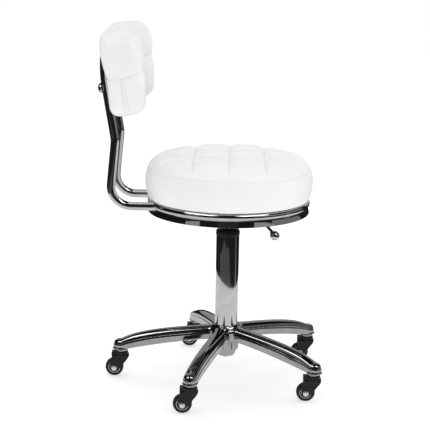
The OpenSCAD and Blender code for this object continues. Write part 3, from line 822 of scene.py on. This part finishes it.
def stitches(name, rows, material, length=3.4, gap=1.7, thickness=0.42):
    """Short raised threads along rows of points, as one piece."""
    parts = []
    for row in rows:
        row = np.asarray(row, float)
        run = np.concatenate([[0], np.cumsum(np.linalg.norm(np.diff(row, axis=0), axis=1))])
        start = gap
        while start + length < run[-1]:
            first, last = (np.array([np.interp(s, run, row[:, a]) for a in range(3)])
                           for s in (start, start + length))
            middle, half = (first + last) / 2, (last - first) / 2
            spine = [middle + half * t for t in (-1, -0.7, 0, 0.7, 1)]
            rod, faces = sweep(spine, thickness, 6)
            for k, scale in enumerate((0.35, 0.85, 1, 0.85, 0.35)):
                for s in range(6):
                    p = np.array(rod[k * 6 + s])
                    rod[k * 6 + s] = tuple(spine[k] + (p - spine[k]) * scale)
            parts.append((rod, faces))
            start += length + gap
    obj = show(name, new_mesh(name, *merged(parts)), material, "seat", crease=80)
    return obj


def dropped_on(tree, starts, direction, lift):
    """Points where rays from starts meet the surface, lifted off it against the ray."""
    direction = Vector(direction).normalized()
    found = []
    for p in starts:
        hit = tree.ray_cast(Vector(p) * MM, direction)[0]
        if hit is not None:
            found.append(tuple(hit / MM - direction * lift))
    return found


SEAT_SEAM = (176, 476)
SEAT_FOOT = 410.1
SEAT_CROWN = 30
QUILT = 75.5


def smooth_step(value, low, high):
    t = np.clip((value - low) / (high - low), 0, 1)
    return t * t * (3 - 2 * t)


def line_distance(coordinate):
    """Distance to the nearest of the three quilting lines."""
    return np.min([np.abs(coordinate - QUILT * k) for k in (-1, 0, 1)], axis=0)


def seat_outline():
    """The cushion, from the middle of its underside round the foot and side and over the crown."""
    side = [(173 + 3 * t + 5.6 * math.sin(math.pi * t), SEAT_FOOT + (SEAT_SEAM[1] - SEAT_FOOT) * t)
            for t in np.linspace(0, 1, 14)]
    crown = []
    for r in SEAT_SEAM[0] * np.sin(np.linspace(math.pi / 2, 0, 32)[1:]):
        dish = 4.5 * max(0, 1 - (r / 150) ** 2) ** 2
        crown.append((r, SEAT_SEAM[1] + SEAT_CROWN * (1 - (r / SEAT_SEAM[0]) ** 10) - dish))
    return [(0, SEAT_FOOT), (169, SEAT_FOOT)] + side + crown


def add_seat_cushion(leather, thread):
    obj = solid_from("quilted_seat", lathe(seat_outline(), 160))
    remeshed(obj, 4.2)
    p = get_points(obj)
    reach = np.hypot(p[:, 0], p[:, 1])
    on_top = smooth_step(p[:, 2], 474, 480) * smooth_step(165 - reach, 0, 22)
    across, along = line_distance(p[:, 0]), line_distance(p[:, 1])
    near = np.minimum(across, along)
    crossing = np.exp(-(across / 16) ** 2) * np.exp(-(along / 16) ** 2)
    p[:, 2] -= on_top * (4.6 * np.exp(-(near / 9) ** 2) + 2.6 * crossing)
    set_points(obj, p)

    sewn = on_top * np.exp(-(near / 2.6) ** 4)
    rim = np.exp(-(np.hypot(reach - SEAT_SEAM[0], p[:, 2] - SEAT_SEAM[1]) / 3.0) ** 4)
    foot = (p[:, 2] < 424).astype(float)
    inflate(obj, np.clip(np.maximum.reduce([sewn, rim, foot]), 0, 1), 4, 7)
    subdivided(obj, 2)

    p = get_points(obj)
    n = get_normals(obj)
    reach = np.hypot(p[:, 0], p[:, 1])
    on_top = smooth_step(p[:, 2], 474, 482) * smooth_step(170 - reach, 0, 16)
    near = np.minimum(line_distance(p[:, 0]), line_distance(p[:, 1]))
    groove = on_top * (2.6 * np.exp(-(near / 2.1) ** 2) + 1.8 * np.exp(-(line_distance(p[:, 0]) / 4.5) ** 2))
    seam = np.hypot(reach - SEAT_SEAM[0], p[:, 2] - SEAT_SEAM[1])
    groove += 1.9 * np.exp(-(seam / 2.2) ** 2)
    set_points(obj, p - n * groove[:, None])
    finish_cushion(obj, leather, "seat_cushion")

    tree = BVHTree.FromObject(obj, bpy.context.evaluated_depsgraph_get())
    rows = []
    for k in (-1, 0, 1):
        span = math.sqrt(160 ** 2 - (QUILT * k) ** 2)
        steps = np.arange(-span, span, 3)
        rows.append(dropped_on(tree, [(QUILT * k, s, 560) for s in steps], (0, 0, -1), 0.1))
        rows.append(dropped_on(tree, [(s, QUILT * k, 560) for s in steps], (0, 0, -1), 0.1))
    stitches("quilting_thread", rows, thread)


PAD_SIDE = (
    (228, 602), (243, 612), (247, 640), (251, 677), (258, 700), (264, 725), (269, 748), (263, 765),
    (253, 775), (238, 782), (208, 777), (184, 756), (175, 722), (176, 698), (167, 665), (166, 638),
    (172, 618), (190, 606),
)
PAD_HALF_W = 175
PAD_FLAT = 136
PAD_END = 38.8


def pad_loop(count=84):
    """The pad's outline seen from the side, as even steps along a smooth closed curve."""
    corners = np.array(PAD_SIDE, float)
    n = len(corners)
    fine = []
    for k in range(n):
        a, b, c, d = (corners[(k + j) % n] for j in (-1, 0, 1, 2))
        for t in np.linspace(0, 1, 12, False):
            fine.append(0.5 * (2 * b + (c - a) * t + (2 * a - 5 * b + 4 * c - d) * t * t
                               + (3 * b - a - 3 * c + d) * t ** 3))
    fine = np.array(fine)
    gaps = np.linalg.norm(np.roll(fine, -1, 0) - fine, axis=1)
    run = np.concatenate([[0], np.cumsum(gaps)])
    loop = np.vstack([fine, fine[:1]])
    at = np.linspace(0, run[-1], count, False)
    return np.stack([np.interp(at, run, loop[:, a]) for a in range(2)], 1)


def pad_front(x):
    """How far forward the pad's front comes; it is hollow in the middle."""
    return 191 - 25 * (x / PAD_HALF_W) ** 2


def pad_back(x):
    """How far back the pad's back comes; it is fullest in the middle."""
    return 271 - 9 * (x / PAD_HALF_W) ** 2


def pad_top(x, y):
    """The height of the pad's top, which drops towards the ends and towards the back."""
    to_end = (1 - math.cos(math.pi * min(abs(x) / PAD_FLAT, 1))) / 2
    return 781 - 9 * to_end - 0.12 * (y - 220)


def shaped_section(loop, x):
    """The side outline at x, with the hollow front, the fuller back and the top that drops to the ends."""
    y, z = loop[:, 0].copy(), loop[:, 1].copy()
    y += 0.82 * np.maximum(pad_front(x) - y, 0)
    y -= 0.9 * np.maximum(y - pad_back(x), 0)
    z -= 0.88 * np.maximum(z - pad_top(x, y), 0)
    return np.stack([y, z], 1)


def pad_part():
    """A closed loft along X with rounded ends."""
    loop = pad_loop()
    flat = np.linspace(-PAD_FLAT, PAD_FLAT, 43)
    shares = [0.99, 0.97, 0.94, 0.9, 0.85, 0.79, 0.72, 0.64, 0.55, 0.45, 0.34, 0.23, 0.12]
    caps = [(PAD_FLAT + PAD_END * math.sqrt(1 - q ** 3.5), q) for q in shares]
    stations = [(-x, q) for x, q in reversed(caps)] + [(x, 1) for x in flat] + caps
    points = []
    for x, q in stations:
        section = shaped_section(loop, x)
        centre = section.min(0) * 0.6 + section.max(0) * 0.4
        for y, z in centre + (section - centre) * np.array([0.1 + 0.9 * q, 0.35 + 0.65 * q]):
            points.append((x, y, z))
    count = len(loop)
    faces = []
    for k in range(0, (len(stations) - 1) * count, count):
        for s in range(count):
            t = (s + 1) % count
            faces.append((k + s, k + t, k + count + t, k + count + s))
    last = (len(stations) - 1) * count
    faces += [tuple(range(count)), tuple(range(last + count - 1, last - 1, -1))]
    return points, faces


def pad_seam_z(p):
    """Height of the seam that runs all round the pad; it rises towards the front."""
    front = np.clip((250 - p[:, 1]) / (250 - pad_front(p[:, 0]) + 4), 0, 1)
    return 678 + 26 * front ** 2


def add_back_cushion(leather):
    obj = solid_from("padded_back", pad_part())
    remeshed(obj, 4.6)
    p = get_points(obj)
    held = np.exp(-((p[:, 2] - pad_seam_z(p)) / 3.0) ** 4)
    behind = smooth_step(p[:, 1], 236, 246) * smooth_step(160 - np.abs(p[:, 0]), 0, 20)
    inflate(obj, np.clip(np.maximum(held, behind), 0, 1), 4, 5)
    subdivided(obj, 2)

    p = get_points(obj)
    n = get_normals(obj)
    above = p[:, 2] - pad_seam_z(p)
    groove = 2.7 * np.exp(-(above / 1.8) ** 2)
    at_end = smooth_step(np.abs(p[:, 0]), 158, 168)
    below = smooth_step(-above, 0, 3)
    drop = 680 - p[:, 2]
    welt = p[:, 1] - (217.2 - 0.163 * drop)
    reach = 2.2 + 0.03 * np.maximum(drop, 0)
    for side in (-1, 1):
        groove += 2.0 * at_end * below * np.exp(-((welt - side * reach) / 1.4) ** 2)
    groove -= 0.5 * at_end * below * np.exp(-(welt / reach) ** 2)

    gathers = np.cos(2 * math.pi * p[:, 1] / 7.3) * smooth_step(np.abs(p[:, 0]), 120, 165)
    low_corner = np.exp(-(((p[:, 1] - 178) / 22) ** 2 + ((p[:, 2] - 630) / 34) ** 2))
    by_seam = np.exp(-np.abs(above) / 14) * np.exp(-((p[:, 1] - 190) / 26) ** 2)
    groove += gathers * (0.75 * low_corner + 0.35 * by_seam)
    set_points(obj, p - n * groove[:, None])
    finish_cushion(obj, leather, "back_cushion")


# ------------------------------------------------------------------ casters

AXLE = (15.5, 20)


def hood_field(x, y, z):
    """The moulded crown and fork of a caster, about its stem."""
    reach = np.hypot(x, y)
    side = np.abs(x)
    cap = soft_max(soft_max(reach - 15.0, z - 58, 3.6), 44.5 - z, 1)
    ridge = soft_max(soft_max(reach - 17.0, z - 50.8, 3.0), 43.5 - z, 1)
    crown = soft_min(cap, ridge, 0.8)
    edges = ((-16.2, 46, -15.3, 43), (-15.3, 43, 3.2, 18.5), (8.5, 12.3, 23.3, 17), (23.3, 17, 20.8, 44))
    flank = z - 48
    for y0, z0, y1, z1 in edges:
        length = math.hypot(y1 - y0, z1 - z0)
        flank = soft_max(flank, ((z0 - z) * (y1 - y0) - (y0 - y) * (z1 - z0)) / length, 1.5)
    eye = np.hypot(y - AXLE[0], z - AXLE[1]) - 7.6
    flank = soft_min(flank, eye, 2)
    cheek = soft_max(soft_max(flank, side - 13.2, 1.0), 10 - side, 0.6)
    boss = soft_max(np.hypot(y - AXLE[0], z - AXLE[1]) - 6.4, side - 14.6, 0.6)
    boss = np.maximum(boss, 10 - side)
    tab = soft_max(soft_max(side - 10, np.abs(y - 16.5) - 5, 1.5), np.abs(z - 50) - 6, 1.5)
    body = soft_min(soft_min(soft_min(crown, cheek, 2.2), boss, 0.6), tab, 1.0)
    wheel_room = np.maximum(np.hypot(y - AXLE[0], z - AXLE[1]) - 21.4, side - 10)
    return soft_max(body, -wheel_room, 0.5)


def tyre_part():
    half = [(20, 3), (19.6, 5.5), (18.6, 7.6), (16.6, 8.5), (13.3, 7.6)]
    outline = rounded([(r, -z) for r, z in reversed(half)] + half, [0.3, 1.2, 2, 2, 2, 2, 2, 2, 1.2, 0.3])
    return along_x(lathe(outline, 96), (0, AXLE[0], AXLE[1]))


def core_part():
    half = [(3.1, 9.4), (5.8, 9.4), (6.4, 5.6), (9.4, 4.6), (11.2, 6.2), (13.2, 7.2)]
    outline = rounded(half + [(r, -z) for r, z in reversed(half)], 0.5, 3)
    return along_x(lathe(outline, 96), (0, AXLE[0], AXLE[1]))


def trim_part():
    """The bright ring on each face of the wheel."""
    parts = []
    for side in (-1, 1):
        outer = [(11.2, 6.2), (11.5, 7.6), (12.2, 8.0), (12.9, 7.7), (13.2, 6.8), (12.4, 6.2)]
        inner = [(7.6, 5.1), (7.8, 5.9), (8.4, 6.1), (9.0, 5.8), (9.1, 4.8)]
        for outline in (outer, inner):
            ring = lathe([(r, side * z) for r, z in outline], 96)
            parts.append(along_x(ring, (0, AXLE[0], AXLE[1])))
    return merged(parts)


def axle_part():
    shaft = [(0, -14.6), (3, -14.6), (3, 14.6), (0, 14.6)]
    parts = [along_x(lathe(shaft, 32), (0, AXLE[0], AXLE[1]))]
    for side in (-1, 1):
        washer = rounded([(0, 14.5), (6.0, 14.5), (6.0, 15.3), (0, 15.3)], 0.2, closed=False)
        head = [(0, 15.2), (5.4, 15.2), (5.4, 18.4), (4.7, 19.3), (0, 19.3)]
        for outline, sides in ((washer, 40), (head, 6)):
            turned = lathe([(r, side * z) for r, z in outline], sides)
            parts.append(along_x(turned, (0, AXLE[0], AXLE[1])))
    return merged(parts)


def flange_part():
    """The stem's bright flange between the hood and the leg."""
    return lathe(rounded([(5.7, 58.6), (13.4, 58.6), (14.2, 60.2), (13.6, 61.8), (5.7, 61.8)], 0.5), 64)


def add_casters(materials):
    cell = 0.8
    hood = new_mesh("caster_fork", *surface_net(hood_field, (-17, -20, 8), (17, 26, 62), cell))
    tyre = new_mesh("wheel_tyre", *tyre_part())
    core = new_mesh("wheel_disc", *core_part())
    trim = new_mesh("wheel_trim", *trim_part())
    axle = new_mesh("wheel_bolt", *axle_part())
    flange = new_mesh("stem_flange", *flange_part())
    for i in CASTERS:
        turn = math.radians(90 + 72 * (i - 1))
        at = (STEM_CIRCLE * math.cos(turn), STEM_CIRCLE * math.sin(turn), 0)
        caster, wheel = f"caster_{i}", f"wheel_{i}"
        show(f"caster_fork_{i}", hood, materials["hood"], caster,
             [f"caster_hood_{i}"], at, 50)
        bolt = show(f"wheel_bolt_{i}", axle, materials["zinc"], caster,
                    [f"wheel_axle_{i}"], at, 25)
        bevel(bolt, 0.25)
        show(f"stem_flange_{i}", flange, materials["zinc"], caster, (), at, 40)
        show(f"wheel_disc_{i}", core, materials["wheel"], wheel,
             [f"wheel_core_{i}"], at, 30)
        show(f"wheel_trim_{i}", trim, materials["zinc"], wheel, (), at, 40)
        show(f"wheel_tyre_{i}", tyre, materials["tyre"], wheel, [f"tyre_{i}"], at, 40)


# ------------------------------------------------------------------ CAD nodes that stay

def dress_cad_nodes(materials):
    by_slot = {
        "bright_steel": materials["zinc"],
        "black_paint": materials["paint"],
        "cylinder_paint": materials["gloss"],
        "black_plastic": materials["collar"],
        "black_rubber": materials["rubber"],
        "plywood": materials["plywood"],
        "chrome": materials["chrome"],
    }
    sharp_edged = ("seat_mechanism", "mechanism_bolts", "tube_bolts", "ring_clips", "seat_board", "rod_clip")
    slots = {part["node"]: part["material_slot"] for part in frame["record"]["subparts"]}
    for name, obj in frame["nodes"].items():
        if obj.hide_render:
            continue
        for slot in obj.material_slots:
            slot.material = by_slot[slots[name]]
        if name in sharp_edged:
            bevel(obj, 0.5)


# ------------------------------------------------------------------ build

materials = {
    "chrome": make_chrome(),
    # Darker chrome for the legs and the column's foot: its base colour is painted shade.
    "cast": make_chrome_painted_shade(),
    "dark": make_dark_chrome(),
    "zinc": make_zinc(),
    "paint": make_black_paint("satin_black_paint", 0.42, 0.00006),
    "gloss": make_black_paint("gloss_black_paint", 0.16, 0.00002),
    "collar": make_moulded("collar_plastic", 0.3, 0.00003),
    "hood": make_moulded("hood_plastic", 0.38, 0.00004),
    "wheel": make_moulded("wheel_plastic", 0.28, 0.00002),
    "tyre": make_tyre(),
    "rubber": make_rubber(),
    "plywood": make_plywood(),
    "leather": make_leather(),
    "thread": make_thread(),
}
add_camera()
add_floor()
add_reflections()
add_lights()
# The legs take the darker chrome, whose base colour is painted shade.
add_star(materials["cast"])
add_column(materials["chrome"], materials["cast"], materials["collar"], materials["gloss"])
add_lever(materials["dark"], materials["chrome"])
add_ring(materials["chrome"])
add_tubes(materials["chrome"])
add_back_bolts(materials["chrome"])
add_casters(materials)
add_seat_cushion(materials["leather"], materials["thread"])
add_back_cushion(materials["leather"])
dress_cad_nodes(materials)
